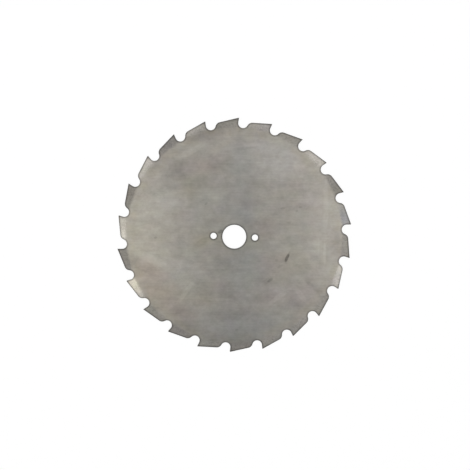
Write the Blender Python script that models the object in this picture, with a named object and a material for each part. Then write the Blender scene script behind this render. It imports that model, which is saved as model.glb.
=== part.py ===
"""Clearing-saw blade for a brush cutter: one flat steel disc with teeth ground and set alternately.

Metres, +Z up. The origin is on the bore's axis, on the surface that the blade lies on: the points of
the teeth that are set downwards touch it. The two pin holes lie on the X axis, and seen from +Z the
teeth point clockwise.
"""

from math import asin, atan2, ceil, cos, pi, radians, sin, sqrt, tan

import bmesh
import bpy
from mathutils import Matrix, Vector

# Disc
TIP_CIRCLE_DIAMETER = 0.200
PLATE_THICKNESS = 0.0018

# Holes
BORE_DIAMETER = 0.0203
PIN_HOLE_DIAMETER = 0.0053
PIN_HOLE_SPACING = 0.0353

# Teeth, cut from the edge of the disc
TOOTH_COUNT = 22
FIRST_TIP_ANGLE = radians(-8.15)
RAKE_ANGLE = radians(7.5)
RELIEF_ANGLE = radians(15.3)
GULLET_DEPTH = 0.0084
GULLET_RADIUS = 0.00415
SHOULDER_RADIUS = 0.0046

# Set and grinding, to one side and the other in turn
TOOTH_SET = 0.0006
BEND_LENGTH = 0.002
FACE_BEVEL_ANGLE = radians(14)

# Fineness of the round stretches
ARC_STEP = radians(12)
HOLE_STEP = radians(5)
BEND_STEPS = 4
WELD_DISTANCE = 2e-6

# Steel
STEEL_COLOUR = (0.40, 0.385, 0.355, 1.0)
STEEL_ROUGHNESS = 0.42

PITCH = 2 * pi / TOOTH_COUNT
TIP_RADIUS = TIP_CIRCLE_DIAMETER / 2
ROOT_RADIUS = TIP_RADIUS - GULLET_DEPTH
CHORD_DISTANCE = ROOT_RADIUS * cos(PITCH / 2)


def clear_scene():
    for old in list(bpy.data.objects):
        bpy.data.objects.remove(old, do_unlink=True)


def turned(point, angle):
    """The 2-D point turned clockwise about the axis, as seen from +Z."""
    return Matrix.Rotation(-angle, 2) @ point


def arc_points(centre, start, end, direction):
    """Points on an arc after start, up to and with end. direction is 1 counter-clockwise, -1 clockwise."""
    from_start = start - centre
    from_end = end - centre
    begin = atan2(from_start.y, from_start.x)
    sweep = (direction * (atan2(from_end.y, from_end.x) - begin)) % (2 * pi)
    steps = max(2, ceil(sweep / ARC_STEP))
    angles = [begin + direction * sweep * step / steps for step in range(1, steps + 1)]
    return [centre + from_start.length * Vector((cos(a), sin(a))) for a in angles]


class ToothProfile:
    """One tooth's outline in the plane of the disc, with its tip on +Y and its cutting face towards +X.

    From the tip the face runs straight down into a round gullet. The gullet flows through a round
    shoulder into the straight back of the next tooth, which climbs to that tooth's tip.
    """

    def __init__(self):
        self.tip = Vector((0, TIP_RADIUS))
        next_tip = turned(self.tip, PITCH)

        face_up = Vector((sin(RAKE_ANGLE), cos(RAKE_ANGLE)))
        face_out = Vector((cos(RAKE_ANGLE), -sin(RAKE_ANGLE)))
        beside_tip = self.tip + face_out * GULLET_RADIUS
        centre_radius = ROOT_RADIUS + GULLET_RADIUS
        rise = beside_tip.dot(face_up)
        drop = rise - sqrt(rise**2 - beside_tip.length_squared + centre_radius**2)
        self.gullet_centre = beside_tip - face_up * drop
        self.face_foot = self.gullet_centre - face_out * GULLET_RADIUS

        self.back_down = turned(Vector((-cos(RELIEF_ANGLE), -sin(RELIEF_ANGLE))), PITCH)
        back_out = turned(Vector((-sin(RELIEF_ANGLE), cos(RELIEF_ANGLE))), PITCH)
        under_tip = next_tip - back_out * SHOULDER_RADIUS
        reach = self.gullet_centre - under_tip
        along = reach.dot(self.back_down)
        across = sqrt(reach.length_squared - along**2)
        both_radii = GULLET_RADIUS + SHOULDER_RADIUS
        run = along - sqrt(both_radii**2 - across**2)
        self.shoulder_centre = under_tip + self.back_down * run
        between = (self.shoulder_centre - self.gullet_centre).normalized()
        self.gullet_end = self.gullet_centre + between * GULLET_RADIUS
        self.back_foot = self.shoulder_centre + back_out * SHOULDER_RADIUS

        self.root = self.gullet_centre - self.gullet_centre.normalized() * GULLET_RADIUS
        self.root_angle = atan2(self.root.x, self.root.y)

    def tip_to_root(self):
        down_to_root = arc_points(self.gullet_centre, self.face_foot, self.root, 1)
        return [self.tip, self.face_foot, *down_to_root]

    def root_to_next_tip(self):
        up_the_gullet = arc_points(self.gullet_centre, self.root, self.gullet_end, 1)
        round_the_shoulder = arc_points(self.shoulder_centre, self.gullet_end, self.back_foot, -1)
        return [self.root, *up_the_gullet, *round_the_shoulder]


def chord_normal(profile, index):
    """Direction from the axis square to the chord that joins the roots on both sides of a tooth."""
    return turned(Vector((0, 1)), tooth_angle(index) + profile.root_angle - PITCH / 2)


def tooth_angle(index):
    """Clockwise angle of a tooth's tip from +Y."""
    return pi / 2 - FIRST_TIP_ANGLE + index * PITCH


def add_face(mesh, points):
    """A flat face through 2-D points, on the underside of the plate."""
    corners = [mesh.verts.new((point.x, point.y, -PLATE_THICKNESS / 2)) for point in points]
    return mesh.faces.new(corners)


def add_tooth_face(mesh, profile, index):
    """The tooth beyond its chord, divided along the lines where the metal bends."""
    here = tooth_angle(index)
    rising = [turned(point, here - PITCH) for point in profile.root_to_next_tip()]
    falling = [turned(point, here) for point in profile.tip_to_root()]
    face = add_face(mesh, rising + falling)
    normal = chord_normal(profile, index)
    pieces = {face, *face.edges, *face.verts}
    for step in range(1, BEND_STEPS + 1):
        distance = CHORD_DISTANCE + BEND_LENGTH * step / BEND_STEPS
        cut = bmesh.ops.bisect_plane(
            mesh,
            geom=list(pieces),
            dist=WELD_DISTANCE,
            plane_co=(normal * distance).to_3d(),
            plane_no=normal.to_3d(),
        )
        pieces = set(cut["geom"])


def add_blank(mesh, profile):
    """The flat toothed disc, centred on the plane z = 0."""
    add_face(mesh, [turned(profile.root, tooth_angle(index)) for index in range(TOOTH_COUNT)])
    for index in range(TOOTH_COUNT):
        add_tooth_face(mesh, profile, index)
    bmesh.ops.remove_doubles(mesh, verts=mesh.verts[:], dist=WELD_DISTANCE)
    grown = bmesh.ops.extrude_face_region(mesh, geom=mesh.faces[:])
    upper = [item for item in grown["geom"] if isinstance(item, bmesh.types.BMVert)]
    bmesh.ops.translate(mesh, verts=upper, vec=(0, 0, PLATE_THICKNESS))
    bmesh.ops.recalc_face_normals(mesh, faces=mesh.faces[:])


def tooth_of(profile, vertex):
    """Index of the tooth whose sector, from root to root, holds the vertex."""
    clockwise = atan2(vertex.co.x, vertex.co.y)
    from_root = clockwise - tooth_angle(0) - profile.root_angle + PITCH
    return int((from_root % (2 * pi)) // PITCH)


def set_side(index):
    """1 for a tooth that is set upwards, -1 for one that is set downwards."""
    return 1 if index % 2 == 0 else -1


def grind_faces(mesh, profile):
    """Bevels each cutting face, so that the corner on the side of its set leads."""
    slide = PLATE_THICKNESS * tan(FACE_BEVEL_ANGLE)
    for vertex in mesh.verts:
        if vertex.co.xy.length < TIP_RADIUS - WELD_DISTANCE:
            continue
        index = tooth_of(profile, vertex)
        trails = vertex.co.z * set_side(index) < 0
        if trails:
            backwards = turned(profile.back_down, tooth_angle(index) - PITCH)
            vertex.co.xy += backwards * slide


def bend_angle(profile):
    """Angle that lifts the tip by the set, once the metal has bent along its short arc."""
    tip_reach = profile.tip.dot(turned(Vector((0, 1)), profile.root_angle - PITCH / 2)) - CHORD_DISTANCE
    return asin(TOOTH_SET / (tip_reach - BEND_LENGTH / 2))


def set_teeth(mesh, profile):
    """Bends each tooth about its chord: an arc first, then straight on, square to the sheet throughout."""
    angle = bend_angle(profile)
    radius = BEND_LENGTH / angle
    for vertex in mesh.verts:
        index = tooth_of(profile, vertex)
        normal = chord_normal(profile, index)
        reach = vertex.co.xy.dot(normal) - CHORD_DISTANCE
        if reach <= 0:
            continue
        turn = angle * min(reach / BEND_LENGTH, 1)
        straight = max(reach - BEND_LENGTH, 0)
        run = radius * sin(turn) + straight * cos(turn)
        rise = radius * (1 - cos(turn)) + straight * sin(turn)
        side = set_side(index)
        from_middle = vertex.co.z
        vertex.co.xy += normal * (run - reach - side * from_middle * sin(turn))
        vertex.co.z = side * rise + from_middle * cos(turn)


def rest_on_tips(mesh):
    """Lifts the disc until its lowest points lie in the plane z = 0, and gives the middle plane's height."""
    lowest = min(vertex.co.z for vertex in mesh.verts)
    bmesh.ops.translate(mesh, verts=mesh.verts[:], vec=(0, 0, -lowest))
    return -lowest


def hole_cutter(name, diameter, x, middle):
    """A hidden cylinder that is longer than the plate is thick."""
    mesh = bmesh.new()
    bmesh.ops.create_cone(
        mesh,
        cap_ends=True,
        segments=round(2 * pi / HOLE_STEP),
        radius1=diameter / 2,
        radius2=diameter / 2,
        depth=PLATE_THICKNESS * 3,
    )
    data = bpy.data.meshes.new(name)
    mesh.to_mesh(data)
    mesh.free()
    cutter = bpy.data.objects.new(name, data)
    cutter.location = (x, 0, middle)
    cutter.hide_render = True
    cutter.display_type = "WIRE"
    bpy.context.scene.collection.objects.link(cutter)
    return cutter


def cut_hole(blade, name, diameter, x, middle):
    cut = blade.modifiers.new(name, "BOOLEAN")
    cut.operation = "DIFFERENCE"
    cut.solver = "EXACT"
    cut.object = hole_cutter(name + "_cutter", diameter, x, middle)


def steel():
    material = bpy.data.materials.new("ground_steel")
    material.use_nodes = True
    shader = material.node_tree.nodes["Principled BSDF"]
    shader.inputs["Base Color"].default_value = STEEL_COLOUR
    shader.inputs["Metallic"].default_value = 1.0
    shader.inputs["Roughness"].default_value = STEEL_ROUGHNESS
    material.diffuse_color = STEEL_COLOUR
    return material


def make_blade():
    profile = ToothProfile()
    mesh = bmesh.new()
    add_blank(mesh, profile)
    grind_faces(mesh, profile)
    set_teeth(mesh, profile)
    middle = rest_on_tips(mesh)
    data = bpy.data.meshes.new("blade")
    mesh.to_mesh(data)
    mesh.free()
    data.materials.append(steel())
    data.shade_smooth()
    data.set_sharp_from_angle(angle=radians(25))
    blade = bpy.data.objects.new("blade", data)
    bpy.context.scene.collection.objects.link(blade)
    cut_hole(blade, "bore", BORE_DIAMETER, 0, middle)
    cut_hole(blade, "left_pin_hole", PIN_HOLE_DIAMETER, -PIN_HOLE_SPACING / 2, middle)
    cut_hole(blade, "right_pin_hole", PIN_HOLE_DIAMETER, PIN_HOLE_SPACING / 2, middle)
    return blade


clear_scene()
make_blade()
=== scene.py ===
from math import asin, cos, pi, radians, sin, sqrt, tan

import bmesh
import bpy
import numpy as np
from mathutils import Matrix, Vector


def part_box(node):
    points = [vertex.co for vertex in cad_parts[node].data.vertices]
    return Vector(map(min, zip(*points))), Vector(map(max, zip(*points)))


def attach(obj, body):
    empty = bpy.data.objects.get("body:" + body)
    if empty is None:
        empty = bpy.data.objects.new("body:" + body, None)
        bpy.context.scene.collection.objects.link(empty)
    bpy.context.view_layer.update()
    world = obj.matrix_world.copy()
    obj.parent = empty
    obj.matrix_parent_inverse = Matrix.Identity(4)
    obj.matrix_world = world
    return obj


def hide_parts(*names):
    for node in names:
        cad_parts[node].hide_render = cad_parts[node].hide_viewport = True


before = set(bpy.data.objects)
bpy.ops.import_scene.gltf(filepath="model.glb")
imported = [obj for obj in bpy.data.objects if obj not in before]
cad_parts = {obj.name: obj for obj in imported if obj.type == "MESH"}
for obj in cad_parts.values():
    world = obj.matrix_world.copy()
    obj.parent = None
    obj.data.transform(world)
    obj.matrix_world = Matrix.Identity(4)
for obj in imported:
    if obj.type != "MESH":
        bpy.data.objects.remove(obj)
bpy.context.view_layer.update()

cadLow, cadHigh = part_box("blade")
middle = (cadLow.z + cadHigh.z) / 2  # height of the sheet's middle plane
print("frame loaded, middle plane of the sheet at", round(middle * 1000, 3), "mm")


# The blade, one sheet of steel; lengths in metres
bladeShape = {
    "tipCircle": 0.200,
    "thickness": 0.0018,
    "bore": 0.0203,
    "pinHole": 0.0053,
    "pinSpacing": 0.0353,
    "teeth": 22,
    "firstTip": radians(-8.15),  # from +X, counter-clockwise
    "rake": radians(7.5),
    "relief": radians(15.3),
    "gulletDepth": 0.0084,
    "gulletRadius": 0.00415,
    "shoulderRadius": 0.0046,
    "set": 0.0006,
    "bend": 0.002,  # the stretch in which a tooth bends out of the sheet
    "faceBevel": radians(14),
    "edgeBreak": 0.00007,  # how far the sharp edges are taken off
    "holeBreak": 0.00012,
    "rimRadius": 0.084,
    "hubRadius": 0.030,
    "divide": 0.0125,  # across the bore's axis, where a pin hole's part of the hub starts
    "edgeReach": 0.0025,  # the distance to an edge is stored up to this
    "upSteps": 7,
    "shoulderSteps": 7,
    "backSteps": 13,
    "faceSteps": 6,
    "downSteps": 13,
    "divideSteps": 90,
    "edgeShares": (0, 0.02, 0.045, 0.075, 0.11, 0.15, 0.2, 0.26, 0.33, 0.41, 0.5, 0.6, 0.7, 0.8, 0.9, 1),
    "webShares": (0.25, 0.6, 1),
    "holeShares": (0, 0.04, 0.12, 0.3, 0.6, 1),
    "portions": 12,  # the distances are worked out in so many parts, to save memory
    "weld": 1e-6,
    "sharpAngle": radians(30),  # faces that meet at more than this are shaded apart
}


def turned(points, angle):
    # clockwise as seen from above: x' = x cos a + y sin a, y' = y cos a - x sin a
    x = points[..., 0]
    y = points[..., 1]
    return np.stack([x * np.cos(angle) + y * np.sin(angle), y * np.cos(angle) - x * np.sin(angle)], -1)


def between(start, end, share):
    # start + s (end - start)
    return start + np.asarray(share)[..., None] * (end - start)


def evenly(steps):
    # 1/n, 2/n ... 1
    return np.arange(1, steps + 1) / steps


def arc(centre, start, end, direction, steps):
    # centre + radius (cos a, sin a), a running evenly from start's angle to end's; start is left out
    radius = np.hypot(*(start - centre))
    begin = np.arctan2(*(start - centre)[::-1])
    sweep = (direction * (np.arctan2(*(end - centre)[::-1]) - begin)) % (2 * pi)
    angle = begin + direction * sweep * evenly(steps)
    return centre + radius * np.stack([np.cos(angle), np.sin(angle)], -1)


def toothCorners(shape):
    # One tooth with its tip on +Y. The face leans by the rake and touches the gullet's circle, which
    # touches the root circle. The back falls by the relief and touches the shoulder's circle, which
    # touches the gullet before it.
    pitch = 2 * pi / shape["teeth"]
    gullet = shape["gulletRadius"]
    shoulder = shape["shoulderRadius"]
    tip = np.array([0, shape["tipCircle"] / 2])
    rootRadius = tip[1] - shape["gulletDepth"]
    faceUp = np.array([sin(shape["rake"]), cos(shape["rake"])])
    faceOut = np.array([cos(shape["rake"]), -sin(shape["rake"])])
    besideTip = tip + faceOut * gullet
    rise = besideTip @ faceUp
    drop = rise - sqrt(rise**2 - besideTip @ besideTip + (rootRadius + gullet) ** 2)
    nextGullet = besideTip - faceUp * drop
    lastGullet = turned(nextGullet, -pitch)
    backDown = np.array([-cos(shape["relief"]), -sin(shape["relief"])])
    backOut = np.array([-sin(shape["relief"]), cos(shape["relief"])])
    underTip = tip - backOut * shoulder
    reach = lastGullet - underTip
    along = reach @ backDown
    run = along - sqrt((gullet + shoulder) ** 2 - reach @ reach + along**2)
    shoulderCentre = underTip + backDown * run
    root = nextGullet * (1 - gullet / np.hypot(*nextGullet))
    return {
        "pitch": pitch,
        "tip": tip,
        "faceFoot": nextGullet - faceOut * gullet,
        "nextGullet": nextGullet,
        "nextRoot": root,
        "lastGullet": lastGullet,
        "lastRoot": turned(root, -pitch),
        "shoulderCentre": shoulderCentre,
        "gulletEnd": between(lastGullet, shoulderCentre, gullet / (gullet + shoulder)),
        "backFoot": shoulderCentre + backOut * shoulder,
        "backDown": backDown,
        "rootAngle": np.arctan2(*root),  # clockwise from the tip
        "chord": rootRadius * cos(pitch / 2),
    }


def toothOutline(shape, corner, slide):
    # Clockwise from root to root: gullet arc, shoulder arc, straight back, straight face, gullet arc.
    # slide carries the tip down the back, on the side where the ground face trails.
    tip = corner["tip"] + corner["backDown"] * slide
    up = arc(corner["lastGullet"], corner["lastRoot"], corner["gulletEnd"], 1, shape["upSteps"])
    over = arc(corner["shoulderCentre"], corner["gulletEnd"], corner["backFoot"], -1, shape["shoulderSteps"])
    back = between(corner["backFoot"], tip, evenly(shape["backSteps"]))
    face = between(tip, corner["faceFoot"], evenly(shape["faceSteps"]))
    down = arc(corner["nextGullet"], corner["faceFoot"], corner["nextRoot"], 1, shape["downSteps"])
    return np.concatenate([up, over, back, face, down])


def inwards(outline):
    # the mitre at each point, (n1 + n2) / (1 + n1.n2), from the normals of the two pieces that meet there
    piece = np.roll(outline, -1, 0) - outline
    normal = np.stack([piece[:, 1], -piece[:, 0]], -1) / np.hypot(*piece.T)[:, None]
    before = np.roll(normal, 1, 0)
    return (normal + before) / (1 + (normal * before).sum(-1))[:, None]


def raised(plan, height):
    # plan points at one height
    return np.concatenate([plan, np.full(plan.shape[:-1] + (1,), height)], -1)


def distanceTo(outline, plan, portions):
    # least |p - a - t (b - a)| over the outline's pieces from a to b, with t held between 0 and 1
    piece = np.roll(outline, -1, 0) - outline
    found = []
    for part in np.array_split(plan.reshape(-1, 2), portions):
        away = part[:, None] - outline
        share = np.clip((away * piece).sum(-1) / (piece**2).sum(-1), 0, 1)
        found.append(np.linalg.norm(away - share[..., None] * piece, axis=-1).min(1))
    return np.concatenate(found).reshape(plan.shape[:-1])


def rimSurface(shape, corner):
    # A profile carried round the outline: from the hub's circle out over the top, down the edge and back
    # below. Its rows lie on straight lines, (1 - s) edge + s circle. Gives the points, their distances to
    # the edge and the hub's circle.
    half = shape["thickness"] / 2
    nip = shape["edgeBreak"]
    slide = shape["thickness"] * tan(shape["faceBevel"])
    leading = toothOutline(shape, corner, 0)
    trailing = toothOutline(shape, corner, slide)
    length = np.hypot(*np.diff(np.concatenate([corner["lastRoot"][None], leading]), axis=0).T)
    share = np.cumsum(length) / length.sum()
    index = np.arange(shape["teeth"])[:, None]
    heading = pi / 2 - shape["firstTip"] + index * corner["pitch"]
    even = (index % 2 == 0)[..., None]
    clockwise = (heading + corner["rootAngle"] + (share - 1) * corner["pitch"]).ravel()
    spoke = np.stack([np.sin(clockwise), np.cos(clockwise)], -1)
    sides = []
    for outline in (np.where(even, leading, trailing), np.where(even, trailing, leading)):
        edge = turned(outline, heading).reshape(-1, 2)
        start = edge + inwards(edge) * nip
        rows = [between(start, spoke * shape["rimRadius"], s) for s in shape["edgeShares"]]
        gaps = distanceTo(edge, np.array(rows), shape["portions"])
        rows += [spoke * (shape["rimRadius"] + s * (shape["hubRadius"] - shape["rimRadius"]))
                 for s in shape["webShares"]]
        sides.append((edge, np.array(rows), gaps))
    (top, topRows, topGaps), (bottom, bottomRows, bottomGaps) = sides
    wall = np.array([raised(top, half - nip), raised((top + bottom) / 2, 0), raised(bottom, nip - half)])
    points = np.concatenate([raised(topRows[::-1], half), wall, raised(bottomRows, -half)])
    far = np.ones((len(shape["webShares"]), len(spoke)))
    gaps = np.concatenate([far, topGaps[::-1], 0 * wall[..., 0], bottomGaps, far])
    return points, gaps, spoke * shape["hubRadius"]


def holeSurface(shape, border, centre, radius):
    # Straight lines from a hole's rim out to a border, (1 - s) rim + s border, on both sides of the sheet
    half = shape["thickness"] / 2
    nip = shape["holeBreak"]
    towards = border - centre
    towards = towards / np.hypot(*towards.T)[:, None]
    rim = centre + towards * radius
    rows = np.array([between(rim + towards * nip, border, s) for s in shape["holeShares"]])
    wall = np.array([raised(rim, half - nip), raised(rim, nip - half)])
    points = np.concatenate([raised(rows[::-1], half), wall, raised(rows, -half)])
    gaps = np.linalg.norm(points[..., :2] - centre, axis=-1) - radius
    return points, gaps


def hubSurfaces(shape, circle):
    # Two chords divide the hub's circle into three borders, one round the bore and one round each pin hole.
    # A chord's points are c + d tan(a), with a even, as seen from the pin hole.
    pin = shape["pinSpacing"] / 2
    height = sqrt(shape["hubRadius"] ** 2 - shape["divide"] ** 2)
    corners = shape["divide"] * np.array([[-1, 0], [1, 0], [1, 0], [-1, 0]]) + height * np.array(
        [[0, 1], [0, 1], [0, -1], [0, -1]])
    nearest = [np.linalg.norm(circle - point, axis=1).argmin() for point in corners]
    circle = np.roll(circle, -nearest[0], 0)
    turns = [(place - nearest[0]) % len(circle) for place in nearest] + [len(circle)]
    loop = np.concatenate([circle, circle[:1]])
    topArc, rightArc, bottomArc, leftArc = [loop[a:b + 1] for a, b in zip(turns, turns[1:])]
    limit = np.arctan2(height, pin - shape["divide"])
    share = 0.5 - np.tan(np.linspace(limit, -limit, shape["divideSteps"])) / np.tan(limit) / 2
    rightCut = between(rightArc[0], rightArc[-1], share)
    leftCut = between(leftArc[0], leftArc[-1], share)
    around = np.concatenate([topArc[:-1], rightCut[:-1], bottomArc[:-1], leftCut[:-1]])
    right = np.concatenate([rightArc[:-1], rightCut[::-1][:-1]])
    left = np.concatenate([leftArc[:-1], leftCut[::-1][:-1]])
    return [
        holeSurface(shape, around, np.zeros(2), shape["bore"] / 2),
        holeSurface(shape, right, np.array([pin, 0]), shape["pinHole"] / 2),
        holeSurface(shape, left, np.array([-pin, 0]), shape["pinHole"] / 2),
    ]


def pastChord(points, shape, corner):
    # For each point, its tooth's side (1 up, -1 down), the normal of the chord between that tooth's two
    # roots, and how far beyond the chord it lies: the tooth is floor(angle from the first root / pitch)
    first = pi / 2 - shape["firstTip"]
    pitch = corner["pitch"]
    clockwise = np.arctan2(points[..., 0], points[..., 1])
    index = np.floor(((clockwise - first - corner["rootAngle"] + pitch) % (2 * pi)) / pitch)
    heading = first + index * pitch + corner["rootAngle"] - pitch / 2
    normal = np.stack([np.sin(heading), np.cos(heading)], -1)
    reach = np.maximum((points[..., :2] * normal).sum(-1) - corner["chord"], 0)
    return np.where(index % 2 == 0, 1.0, -1.0), normal, reach


def bent(points, shape, corner):
    # Beyond its chord a tooth leaves the sheet, along an arc of radius bend / angle and then straight on,
    # square to the sheet throughout. Even teeth go up and odd teeth go down.
    side, normal, reach = pastChord(points, shape, corner)
    pitch = corner["pitch"]
    tipReach = corner["tip"][1] * cos(corner["rootAngle"] - pitch / 2) - corner["chord"]
    angle = asin(shape["set"] / (tipReach - shape["bend"] / 2))
    radius = shape["bend"] / angle
    turn = angle * np.minimum(reach / shape["bend"], 1)
    straight = np.maximum(reach - shape["bend"], 0)
    run = radius * np.sin(turn) + straight * np.cos(turn)
    rise = radius * (1 - np.cos(turn)) + straight * np.sin(turn)
    fromMiddle = points[..., 2]
    moved = points[..., :2] + normal * (run - reach - side * fromMiddle * np.sin(turn))[..., None]
    return np.concatenate([moved, (side * rise + fromMiddle * np.cos(turn))[..., None]], -1)


def gridFaces(rows, columns, first):
    # quads (i, j), (i + 1, j), (i + 1, j + 1), (i, j + 1), closed in j
    here = first + np.arange(rows * columns).reshape(rows, columns)
    beside = np.roll(here, -1, 1)
    return np.stack([here[:-1], here[1:], beside[1:], beside[:-1]], -1).reshape(-1, 4)


def makeBlade(shape):
    # The flat surfaces are joined into one mesh and bent. Each point keeps its distance to an edge, and how
    # far it is on a tooth, from 0 on the plate to 1.
    corner = toothCorners(shape)
    rim, rimGaps, circle = rimSurface(shape, corner)
    surfaces, surfaceGaps = zip((rim, rimGaps), *hubSurfaces(shape, circle))
    points = np.concatenate([surface.reshape(-1, 3) for surface in surfaces])
    gaps = np.minimum(np.concatenate([part.ravel() for part in surfaceGaps]), shape["edgeReach"])
    grids = [surface.shape[:2] for surface in surfaces]
    firsts = np.cumsum([0] + [rows * columns for rows, columns in grids])
    faces = np.concatenate([gridFaces(rows, columns, first) for (rows, columns), first in zip(grids, firsts)])
    onTooth = np.clip(pastChord(points, shape, corner)[2] / shape["bend"], 0, 1)
    points = bent(points, shape, corner) + np.array([0, 0, middle])
    data = bpy.data.meshes.new("bladeSteel")
    data.from_pydata(points.tolist(), [], faces.tolist())
    data.attributes.new("edgeDistance", "FLOAT", "POINT").data.foreach_set("value", gaps)
    data.attributes.new("onTooth", "FLOAT", "POINT").data.foreach_set("value", onTooth)
    mesh = bmesh.new()
    mesh.from_mesh(data)
    bmesh.ops.remove_doubles(mesh, verts=mesh.verts[:], dist=shape["weld"])
    bmesh.ops.recalc_face_normals(mesh, faces=mesh.faces[:])
    mesh.to_mesh(data)
    mesh.free()
    data.shade_smooth()
    data.set_sharp_from_angle(angle=shape["sharpAngle"])
    blade = bpy.data.objects.new("bladeSteel", data)
    bpy.context.scene.collection.objects.link(blade)
    return blade


bladePiece = makeBlade(bladeShape)
print("blade made,", len(bladePiece.data.polygons), "faces")


class Signal:
    # One output socket. Arithmetic on it adds a Math node; node() makes any other node.
    def __init__(self, tree, socket):
        self.tree = tree
        self.socket = socket

    def node(self, kind, settings=None, values=None, output=0):
        made = self.tree.nodes.new(kind)
        for name, setting in (settings or {}).items():
            setattr(made, name, setting)
        for name, value in (values or {}).items():
            if isinstance(value, Signal):
                self.tree.links.new(value.socket, made.inputs[name])
            else:
                made.inputs[name].default_value = value
        return Signal(self.tree, made.outputs[output])

    def math(self, operation, *values):
        return self.node("ShaderNodeMath", {"operation": operation}, dict(enumerate(values)))

    def __add__(self, other):
        return self.math("ADD", self, other)

    def __sub__(self, other):
        return self.math("SUBTRACT", self, other)

    def __rsub__(self, other):
        return self.math("SUBTRACT", other, self)

    def __mul__(self, other):
        return self.math("MULTIPLY", self, other)

    __radd__ = __add__
    __rmul__ = __mul__

    def over(self, low, high):
        # 0 below low, 1 above high, smooth between; falls instead where low is the larger
        return self.node("ShaderNodeMapRange", {"interpolation_type": "SMOOTHSTEP"},
                         {"Value": self, "From Min": low, "From Max": high})

    def between(self, first, second):
        # first value where this is 0, second where it is 1
        return self.node("ShaderNodeMix", {"data_type": "FLOAT"}, {0: self, 2: first, 3: second}, 0)

    def mixed(self, first, second):
        # first colour where this is 0, second where it is 1
        return self.node("ShaderNodeMix", {"data_type": "RGBA"}, {0: self, 6: first, 7: second}, 2)

    def tinted(self, colour, tint):
        # the colour times 1 - m + m tint, where m is this
        return self.node("ShaderNodeMix", {"data_type": "RGBA", "blend_type": "MULTIPLY"},
                         {0: self, 6: colour, 7: tint}, 2)

    def scaled(self, colour):
        # a colour or vector times this value
        return self.node("ShaderNodeVectorMath", {"operation": "SCALE"}, {0: colour, "Scale": self})


def newMaterial(name):
    material = bpy.data.materials.new(name)
    material.use_nodes = True
    material.node_tree.nodes.clear()
    output = material.node_tree.nodes.new("ShaderNodeOutputMaterial")
    return material, Signal(material.node_tree, None), output


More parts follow.
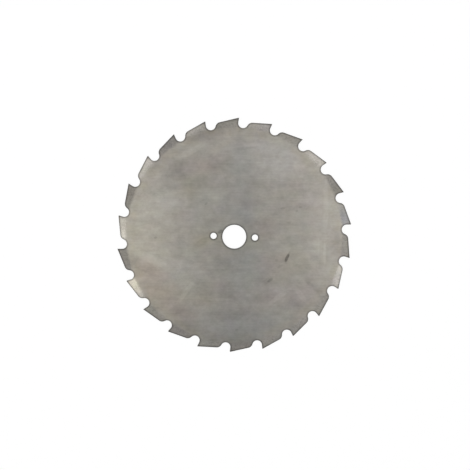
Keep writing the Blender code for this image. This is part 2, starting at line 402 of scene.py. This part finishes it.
# The steel, in millimetres. Places are to the right and up from the bore's middle in the photograph, leans
# are counter-clockwise degrees, and a mark has faded out at its half length and half width. A cell of noise
# has a length, a width and a height.
millimetre = 0.001
steelFinish = {
    "colour": (0.317, 0.299, 0.269),
    "turn": radians(2.35),  # the brushing runs along the photograph's rows
    "faceBlend": 0.05,  # the two faces' looks meet this far above and below the middle plane
    "facesApart": 40,  # the two faces read the noise this far apart
    "clouds": [((11, 8, 1), 0.34), ((5, 3.8, 1), 0.26)],  # cell and strength
    "backClouds": [((34, 26, 1), 0.35), ((15, 9, 1), 0.35)],  # only on the face that lies down
    "brushing": [((46, 1.6, 1), 0.12), ((10, 0.35, 1), 0.04), ((15, 0.9, 1), 0.08), ((2.2, 1.5, 1), 0.17)],
    "hueCell": (14, 10, 1),
    "hue": (0.07, 0.055, 0.10),  # strength of the hue noise in red, green and blue
    "burr": 0.40,  # how much darker the edges are
    "burrReach": (1.9, 0.3),  # how far from the edge that begins and is full
    "line": 0.50,  # the same for the thin dark line along the teeth and the holes
    "lineReach": (0.75, 0.3),
    "hub": (40, 30),  # the part round the holes that has this line, from the axis
    "tip": 0.35,  # and for the teeth's points, from the axis
    "tipReach": (97.6, 99.4),
    "rim": (82, 88),  # where the warm tint of the rim begins and is full, from the axis
    "rimTint": (1.0, 0.985, 0.94),
    "rimCell": (9, 9, 1),
    "rimPatches": (0.3, 0.7),  # where it lies in the noise
    "toothGrain": [((0.9, 0.9, 1), 0.65), ((2.2, 1.6, 1), 0.5)],
    "wallColour": (0.33, 0.316, 0.292),
    "wallReach": (0.06, 0.03),  # the cut edges begin and are full this far from the edge
    "wallGrain": [((0.5, 0.5, 3), 0.45), ((2.5, 2.5, 1.2), 0.35)],  # upright tool lines, and patches
    "roughness": 0.42,
    "toothRoughness": 0.30,
    "wallRoughness": 0.34,
    "uneven": 0.10,  # how far roughness follows the clouds
    "scratchCell": (10, 0.35, 1),
    "scratchHeight": 0.0025,
    "warpCell": (5, 5, 1),
    "warp": 1.2,  # how far the noise moves the marks' borders
    "layers": {  # the pattern that each noise starts from
        "clouds": 0,
        "backClouds": 2,
        "brushing": 5,
        "scratches": 6,
        "toothGrain": 9,
        "hue": 12,
        "warp": 13,
        "wallGrain": 14,
        "rim": 16,
        "scuffs": 20,
    },
    "tints": {  # what red, green and blue are multiplied by where a tint is full
        "pale": (1.15, 1.15, 1.15),
        "cream": (1.15, 1.15, 1.11),
        "sky": (1.15, 1.17, 1.22),
        "slateShade": (0.88, 0.92, 0.97),
        "brown": (1.01, 0.96, 0.91),
        "olive": (0.94, 0.94, 0.88),
        "khaki": (1.01, 1.01, 0.95),
        "pink": (1.03, 0.98, 0.99),
        "lilac": (1.02, 0.99, 1.03),
        "plum": (1.0, 0.98, 1.02),
        "teal": (0.98, 1.01, 1.01),
        "ice": (0.99, 1.01, 1.03),
        "straw": (1.14, 1.13, 1.03),
        "shade": (0.88, 0.88, 0.92),
        "warmShade": (0.88, 0.87, 0.84),
        "dull": (0.78, 0.78, 0.78),
        "blue": (0.76, 0.80, 0.90),
    },
    "washesAndPaintedLight": [  # on the plate: place, half length and half width, lean, tint, how full it is
        ((84, 8), (75, 34), 90, "pale", 1),  # painted highlight: paler at the right rim, where the side lamps reflect
        ((-72, 8), (62, 42), 90, "cream", 1),  # and the same painted highlight at the left rim
        ((37, 66), (44, 27), -14, "sky", 1),
        ((-52, -25), (40, 18), -30, "pale", 0.5),
        ((5, 0), (110, 32), 90, "slateShade", 0.75),  # painted shade: a darker, bluish band from top to bottom, with the three washes below
        ((5, -80), (60, 28), 0, "slateShade", 1),
        ((5, 64), (14, 26), 0, "slateShade", 0.5),
        ((11, 25), (10, 26), 0, "slateShade", 0.25),
        ((-68, -44), (42, 20), -48, "brown", 1),  # brown stain inside the lower left teeth
        ((-80, -8), (30, 14), 90, "khaki", 0.5),
        ((0, -3), (40, 16), 0, "olive", 1),  # olive shade round the bore
        ((-30, 1), (18, 9), 0, "khaki", 0.5),
        ((-12, 13), (14, 9), 0, "olive", 0.5),
        ((-42, 37), (18, 10), 0, "khaki", 0.75),
        ((-26, 61), (26, 12), 10, "pink", 0.75),
        ((62, 66), (20, 16), -45, "khaki", 0.75),
        ((70, -13), (18, 10), 90, "cream", 0.25),
        ((52, -50), (30, 18), 10, "plum", 0.5),
        ((40, -68), (34, 18), 0, "ice", 0.75),
        ((-31, 46), (20, 12), 0, "khaki", 0.75),
        ((66, 33), (20, 14), 0, "lilac", 0.25),
        ((52, 53), (16, 28), 0, "pink", 0.25),
        ((64, -48), (12, 18), 0, "lilac", 0.5),
        ((12, -30), (20, 34), 0, "teal", 1),
        ((25, -27), (18, 20), 0, "plum", 0.5),
        ((20, -50), (50, 18), 0, "plum", 0.5),
        ((36, -21), (16, 16), 0, "pink", 0.5),
        ((52, -22), (20, 20), 0, "khaki", 0.75),
        ((45, -8), (40, 14), 0, "teal", 0.75),
        ((25, 6), (16, 16), 0, "pink", 0.75),
        ((-43, 20), (18, 22), 0, "lilac", 0.5),
        ((-56, 32), (20, 18), 0, "ice", 1),
        ((-23, 24), (32, 34), 0, "teal", 0.75),
        ((-38, -29), (32, 34), 0, "teal", 0.75),
        ((-37, -49), (30, 16), 0, "khaki", 0.75),
        ((-28, -5), (20, 9), 33, "khaki", 1),
        ((-57, -51), (22, 14), 0, "pink", 0.25),
        ((-71, -27), (22, 12), -25, "pink", 1),
        ((-43, -65), (18, 14), 0, "pink", 0.75),
    ],
    "toothTintsAndPaintedLight": [  # the same on the ground teeth, partly their tint and partly painted light: they brighten or darken the lamps' reflection in single teeth
        ((92, -11), (16, 16), 0, "shade", 0.5),
        ((85, -36), (16, 16), 0, "shade", 1),
        ((40, -84), (44, 18), 35, "ice", 1),
        ((-12, -93), (44, 14), 0, "ice", 1),
        ((-48, -79), (16, 14), 0, "shade", 0.75),
        ((-83, -40), (16, 14), 0, "straw", 1),  # painted highlight on the palest tooth
        ((-92, -15), (14, 12), 0, "warmShade", 0.5),
        ((-92, 11), (16, 14), 0, "warmShade", 1),
        ((-85, 36), (16, 14), 0, "warmShade", 0.75),
        ((-52, 77), (16, 14), 0, "shade", 0.75),
        ((-28, 88), (14, 12), 0, "sky", 0.25),
        ((24, 90), (16, 12), 0, "shade", 1),
        ((-72, 59), (16, 14), 0, "shade", 0.25),
        ((83, 40), (17, 14), 0, "dull", 1),
        ((92, 15), (17, 15), 0, "blue", 1),
    ],
    "markStep": 0.05,  # how much lighter one step of a mark is
    "marks": [  # place, half length and half width, lean, steps lighter or darker
        # painted shade: this mark and the next darken the plate below the bore
        ((0, -21), (44, 15), 0, -1),
        ((-20, -42), (34, 20), 30, -1),
        ((-47, 57), (14, 10), 42, -2),
        ((-29, 46), (19, 8), 8, -3),
        ((-38, 40), (22, 8), 10, -1),
        ((-16, 60), (18, 12), 20, -2),
        ((-24, 86), (26, 8), 15, -5),
        ((-66, 60), (16, 9), 45, -2),
        ((-10, 75), (18, 7), 5, 1),
        ((-60, 28), (30, 16), 15, 2),
        ((-68, 25), (10, 6), 0, -2),
        ((-65, 1), (10, 7), 0, -1),
        ((-15, 31), (12, 10), 0, 1),
        ((-20, 11), (12, 5), 20, -2),
        ((43, 25), (22, 12), 10, -1),
        ((27, 8), (22, 12), 0, -2),
        ((66, 54), (16, 8), -40, 1),
        ((64, 32), (18, 7), 0, 2),
        ((80, 30), (22, 14), 70, 1),
        ((87, -5), (18, 7), 90, -3),
        ((77, -30), (12, 10), 0, 1),
        ((66, -10), (12, 12), 0, 1),
        ((-38, -27), (32, 20), 30, 1),
        ((-50, -40), (16, 10), 0, 1),
        ((60, 12), (22, 12), 0, 1),
        ((-61, 50), (14, 11), 0, 1),
        ((-60, -48), (16, 11), 0, 1),
        ((48, -11), (18, 9), 0, 1),
        ((12, -13), (11, 8), 0, 1),
        ((-10, -50), (24, 12), 0, -2),
        ((-85, -23), (10, 14), 20, -3),
        ((-46, -59), (12, 5), 0, 1),
        # painted shade: this mark and the four below darken the plate towards the bottom rim
        ((2, -66), (34, 10), 8, -2),
        ((25, -52), (20, 8), 10, -2),
        ((-44, -66), (16, 11), -20, -3),
        ((-36, -80), (24, 8), -20, -3),
        ((0, -89), (36, 7), 0, -3),
        ((-14, -21), (13, 8), 90, -2),
        ((24, -38), (18, 6), 0, -2),
        ((53, -56), (16, 9), -50, -2),
        ((71, -45), (18, 5), -50, -2),
        ((36, -21), (8, 7), 0, -1),
    ],
    "strokes": [  # the same with firmer borders
        ((-47, 55), (27, 14), 45, -2),  # dark cloud by the upper left teeth
        ((13, 27), (36, 9), 88, -1),
        ((-38, 71), (19, 3.4), 27, 2),
        ((-73, -18), (26, 4.5), -27, 2),  # pale stroke from the left rim
        ((-72, -31), (15, 1.8), -22, -1),
        ((-60, -53), (13, 1.8), 0, -1),
        ((-62, -46), (12, 1.5), -8, -1),
        ((-42, -48), (15, 2.6), 55, 2),
        ((-28, -5), (11, 3.6), 33, -2),
        ((-14, -54), (12, 1.4), 0, 1),
        ((-6, -52), (9, 1.3), 90, 1),
        ((39, -51), (16, 2.8), 36, 2),  # two pale strokes that meet
        ((56, -49), (12, 3), -52, 2),
        ((36, -47), (17, 2), 12, 1),
        ((12, -68), (13, 2.2), 32, 1),
        ((65, -21), (9, 2.4), -55, 1),
        ((64, -40), (6, 1.8), -35, -2),
        ((77, -14), (13, 1.5), 90, 2),
        ((72, -7), (9, 1.3), 90, 1),
        ((19, 78), (36, 1.2), 7, 1),
        ((9, 74.5), (14, 1.4), 5, -1),
        ((54, 57), (10, 3.6), -65, 1),
        # painted highlight: a pale upright streak by the right rim
        ((77.5, 28), (36, 2.6), 90, 1),
        ((45, -18), (4.9, 1.75), 70, -10),  # dark smudge right of the bore, and its tail
        ((46.8, -14.4), (2.8, 1.1), 68, -2),
        ((30.7, -37.2), (3.4, 1.5), 32, -4),
        ((27.6, -39.7), (3, 1.4), 35, -1),
        ((39, -25.5), (3.4, 1.5), 35, -2),
        ((36, -20), (1.8, 1.4), 0, -2),
        ((63.5, -27), (3.6, 1.8), -10, -2),
        ((-12, 4.5), (3, 1.6), 30, -6),
        ((-24, 28), (2, 1.2), 40, -3),
        ((-26.5, 31), (1.6, 1), 40, -2),
        ((-67, -0.6), (1.8, 1.3), 0, -3),
        ((41, 24), (2.4, 1.3), 0, -3),
        ((53, 22), (1.6, 1.2), 0, -3),
        ((56, 25), (1.4, 1.1), 0, -3),
        ((46.5, 12), (1.8, 1.2), 0, -2),
        ((2, -80), (1.6, 1.3), 0, -3),
    ],
    "strokeFull": 0.5,  # the share of a stroke's half width over which it fades in
    "scuffs": [  # slanting scratches: place, half width and half height, their lean, strength
        ((-72, 32), (26, 32), 35, 0.16),
        ((-72, -35), (24, 18), -24, 0.14),
        ((-38, -32), (28, 24), 50, 0.12),
        ((36, -56), (28, 20), 35, 0.12),
        ((64, -24), (16, 18), -55, 0.10),
    ],
    "scuffCell": (9, 0.9, 1),
}


layerStep = Vector((17, 31, 5))  # from one pattern of the noise to the next


def noise(plan, cell, layer, output=0, lean=0):
    # cloudy noise, 0 to 1 about 0.5, in cells of this size; each layer is its own pattern
    local = plan.node("ShaderNodeMapping", {"vector_type": "TEXTURE"}, {
        "Vector": plan, "Location": layerStep * layer, "Rotation": (0, 0, radians(lean)), "Scale": cell})
    return local.node("ShaderNodeTexNoise", {}, {"Vector": local, "Scale": 1.0}, output)


def mottled(plan, cells, first):
    # the sum of strength (noise - 0.5)
    return sum((noise(plan, cell, layer) - 0.5) * strength
               for layer, (cell, strength) in enumerate(cells, first))


def centred(colour):
    # noise in three channels, about 0
    return colour.node("ShaderNodeVectorMath", {"operation": "SUBTRACT"}, {0: colour, 1: (0.5, 0.5, 0.5)})


def patch(plan, place, size, lean, full=1):
    # an oval, 0 from its rim on and 1 in its middle: smooth (1 - |p|) / full, p in half lengths and widths
    local = plan.node("ShaderNodeMapping", {"vector_type": "TEXTURE"}, {
        "Vector": plan, "Location": (*place, 0), "Rotation": (0, 0, radians(lean)), "Scale": (*size, 1)})
    fall = local.node("ShaderNodeTexGradient", {"gradient_type": "SPHERICAL"}, {"Vector": local}, 1)
    return fall.over(0, full)


def makeSteel(finish):
    # Lightness is 1 plus the mottling, and on the face that shows, plus the marks; the tints multiply the
    # colour. The edges are darker, and the cut edges have their own colour and grain.
    layers = finish["layers"]
    material, start, output = newMaterial("brushedSteel")
    place = start.node("ShaderNodeTexCoord", {}, {}, "Object")
    measured = place.node("ShaderNodeMapping", {"vector_type": "TEXTURE"}, {
        "Vector": place, "Rotation": (0, 0, finish["turn"]), "Scale": (millimetre,) * 3})
    height = place.node("ShaderNodeSeparateXYZ", {}, {0: place}, "Z")
    blend = finish["faceBlend"] * millimetre
    onTop = height.over(middle - blend, middle + blend)
    edge = start.node("ShaderNodeAttribute", {"attribute_name": "edgeDistance"}, {}, "Fac") * (1 / millimetre)
    tooth = start.node("ShaderNodeAttribute", {"attribute_name": "onTooth"}, {}, "Fac")
    wall = edge.over(*finish["wallReach"])
    flat = measured.node("ShaderNodeVectorMath", {"operation": "MULTIPLY"}, {0: measured, 1: (1, 1, 0)})
    fromAxis = flat.node("ShaderNodeVectorMath", {"operation": "LENGTH"}, {0: flat}, "Value")
    side = start.node("ShaderNodeCombineXYZ", {}, {"Z": onTop * finish["facesApart"]})
    plan = flat.node("ShaderNodeVectorMath", {"operation": "ADD"}, {0: flat, 1: side})
    shift = centred(noise(plan, finish["warpCell"], layers["warp"], 1))
    warped = flat.node("ShaderNodeVectorMath", {"operation": "MULTIPLY_ADD"},
                       {0: shift, 1: (finish["warp"], finish["warp"], 0), 2: flat})
    clouds = mottled(plan, finish["clouds"], layers["clouds"])
    backClouds = mottled(plan, finish["backClouds"], layers["backClouds"])
    brushing = mottled(plan, finish["brushing"], layers["brushing"])
    toothGrain = mottled(plan, finish["toothGrain"], layers["toothGrain"])
    marks = sum(patch(warped, where, size, lean) * steps for where, size, lean, steps in finish["marks"])
    marks += sum(patch(warped, where, size, lean, finish["strokeFull"]) * steps
                 for where, size, lean, steps in finish["strokes"])
    marks *= finish["markStep"]
    for layer, (where, size, lean, strength) in enumerate(finish["scuffs"], layers["scuffs"]):
        scratched = noise(plan, finish["scuffCell"], layer, 0, lean) - 0.5
        marks += patch(flat, where, size, 0) * scratched * strength
    tone = 1 + clouds + brushing + toothGrain * tooth + onTop.between(backClouds, marks)
    hue = centred(noise(plan, finish["hueCell"], layers["hue"], 1))
    hue = hue.node("ShaderNodeVectorMath", {"operation": "MULTIPLY_ADD"},
                   {0: hue, 1: finish["hue"], 2: (1, 1, 1)})
    washed = hue.node("ShaderNodeVectorMath", {"operation": "MULTIPLY"}, {0: hue, 1: finish["colour"]})
    for tints, shownOn in ((finish["washesAndPaintedLight"], onTop * (1 - tooth)), (finish["toothTintsAndPaintedLight"], onTop * tooth)):
        for where, size, lean, tint, full in tints:
            share = patch(flat, where, size, lean) * full * shownOn
            washed = share.tinted(washed, (*finish["tints"][tint], 1))
    rimPatches = noise(plan, finish["rimCell"], layers["rim"]).over(*finish["rimPatches"])
    rim = fromAxis.over(*finish["rim"]) * (1 - tooth) * rimPatches
    washed = rim.tinted(washed, (*finish["rimTint"], 1))
    burr = edge.over(*finish["burrReach"]) * finish["burr"]
    line = edge.over(*finish["lineReach"]) * finish["line"] * (tooth + fromAxis.over(*finish["hub"]))
    tip = fromAxis.over(*finish["tipReach"]) * finish["tip"]
    colour = (tone * (1 - burr) * (1 - line) * (1 - tip)).scaled(washed)
    wallTone = 1 + mottled(measured, finish["wallGrain"], layers["wallGrain"])
    colour = wall.mixed(colour, wallTone.scaled(finish["wallColour"]))
    roughness = finish["roughness"] + tooth * (finish["toothRoughness"] - finish["roughness"])
    roughness = wall.between(roughness + clouds * finish["uneven"], finish["wallRoughness"] * wallTone)
    scratches = noise(plan, finish["scratchCell"], layers["scratches"])
    bump = scratches.node("ShaderNodeBump", {}, {
        "Height": scratches, "Distance": finish["scratchHeight"] * millimetre})
    shader = start.node("ShaderNodeBsdfPrincipled", {}, {
        "Base Color": colour, "Metallic": 1.0, "Roughness": roughness, "Normal": bump})
    material.node_tree.links.new(shader.socket, output.inputs["Surface"])
    return material


bladePiece.data.materials.append(makeSteel(steelFinish))
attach(bladePiece, "root")
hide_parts("blade")
print("steel made")


# The stage: a pale floor that sweeps up all round, an even surround and soft lights; lengths in metres
stageSetting = {
    "floorRadius": 2.0,
    "sweepRadius": 0.8,
    "wallTop": 2.0,
    "aroundSteps": 96,
    "sweepSteps": 16,
    "colour": (0.95, 0.95, 0.95, 1),
    "glow": 0.90,  # how much of its look is plain white, the rest takes light and shadow
    "white": 1.02,  # strength of that white
    "surround": 0.60,
}


def makeBackdrop(setting):
    # a profile turned about Z: flat floor, quarter circle up, straight wall
    angle = np.linspace(0, pi / 2, setting["sweepSteps"] + 1)
    outwards = setting["floorRadius"] + setting["sweepRadius"] * np.append(np.sin(angle), 1)
    height = np.append(setting["sweepRadius"] * (1 - np.cos(angle)), setting["wallTop"])
    around = 2 * pi * evenly(setting["aroundSteps"])
    points = np.stack([outwards[:, None] * np.cos(around), outwards[:, None] * np.sin(around),
                       height[:, None] * np.ones_like(around)], -1)
    rows, columns = points.shape[:2]
    floorFace = [list(range(columns))]
    data = bpy.data.meshes.new("backdrop")
    data.from_pydata(points.reshape(-1, 3).tolist(), [], floorFace + gridFaces(rows, columns, 0).tolist())
    data.shade_smooth()
    backdrop = bpy.data.objects.new("backdrop", data)
    bpy.context.scene.collection.objects.link(backdrop)
    material, start, output = newMaterial("paleBackdrop")
    matt = start.node("ShaderNodeBsdfDiffuse", {}, {"Color": setting["colour"]})
    white = start.node("ShaderNodeEmission", {}, {"Strength": setting["white"]})
    seen = sum(start.node("ShaderNodeLightPath", {}, {}, ray)
               for ray in ("Is Camera Ray", "Is Glossy Ray", "Is Transmission Ray"))
    mix = start.node("ShaderNodeMixShader", {}, {0: seen * setting["glow"], 1: matt, 2: white})
    material.node_tree.links.new(mix.socket, output.inputs["Surface"])
    data.materials.append(material)


def makeSurround(setting):
    # even light from all round
    world = bpy.data.worlds.new("surround")
    bpy.context.scene.world = world
    world.use_nodes = True
    world.node_tree.nodes.clear()
    start = Signal(world.node_tree, None)
    background = start.node("ShaderNodeBackground", {}, {
        "Color": (1, 1, 1, 1), "Strength": setting["surround"]})
    output = world.node_tree.nodes.new("ShaderNodeOutputWorld")
    world.node_tree.links.new(background.socket, output.inputs["Surface"])


# Each slanting lamp lights the down-set teeth on its side, and its power follows how bright those teeth
# are in the photograph. A lamp has its angle round the blade from +X, its angle off the vertical, its watts.
softLights = {
    "rightLight": (radians(340), radians(32), 1.1),
    "backRightLight": (radians(40), radians(32), 1.0),
    "backLight": (radians(80), radians(32), 0.5),
    "backLeftLight": (radians(140), radians(32), 1.2),
    "leftLight": (radians(200), radians(32), 1.6),
    "topLight": (radians(0), radians(10), 0.2),
}
lightPanel = {"distance": 1.2, "width": 0.35, "height": 0.40}  # metres


def makeLights(lights, panel):
    # panels that face the bore, each with its width up the slope and its height across
    for name, (around, off, watts) in lights.items():
        light = bpy.data.lights.new(name, "AREA")
        light.shape = "RECTANGLE"
        light.size = panel["width"]
        light.size_y = panel["height"]
        light.energy = watts
        lamp = bpy.data.objects.new(name, light)
        towards = Vector((sin(off) * cos(around), sin(off) * sin(around), cos(off)))
        side = Vector((0, 0, 1)).cross(towards).normalized()
        up = towards.cross(side)
        turn = Matrix((up, side, towards)).transposed().to_4x4()
        lamp.matrix_world = Matrix.Translation(towards * panel["distance"]) @ turn
        bpy.context.scene.collection.objects.link(lamp)


makeBackdrop(stageSetting)
makeSurround(stageSetting)
makeLights(softLights, lightPanel)
print("stage made")


# The photograph's viewpoint, almost straight down; lengths in metres
viewpoint = {
    "distance": 0.400,  # from the bore's middle on the top face
    "tilt": radians(3.61),  # off the vertical, towards the picture's top
    "roll": radians(2.35),  # the picture's right is turned this far counter-clockwise from +X
    "aside": (0.00062, 0.00149),  # the camera's place to the right and up in the picture
    "lens": 36.03,  # this and the sensor's width in millimetres
    "sensor": 36.0,
    "nearest": 0.01,
    "farthest": 20,
}


def makeCamera(view):
    # it looks down along a line that leans towards the picture's top, from a distance above the top face
    top = Vector((0, 0, middle + bladeShape["thickness"] / 2))
    right = Vector((cos(view["roll"]), sin(view["roll"]), 0))
    ahead = Vector((-sin(view["roll"]), cos(view["roll"]), 0))
    back = Vector((0, 0, cos(view["tilt"]))) + ahead * sin(view["tilt"])
    up = back.cross(right)
    camera = bpy.data.cameras.new("photoView")
    camera.lens = view["lens"]
    camera.sensor_width = view["sensor"]
    camera.clip_start = view["nearest"]
    camera.clip_end = view["farthest"]
    holder = bpy.data.objects.new("photoView", camera)
    place = top + back * view["distance"] + right * view["aside"][0] + up * view["aside"][1]
    holder.matrix_world = Matrix.Translation(place) @ Matrix((right, up, back)).transposed().to_4x4()
    bpy.context.scene.collection.objects.link(holder)
    bpy.context.scene.camera = holder


makeCamera(viewpoint)
bpy.context.scene.view_settings.view_transform = "Standard"
print("camera made")
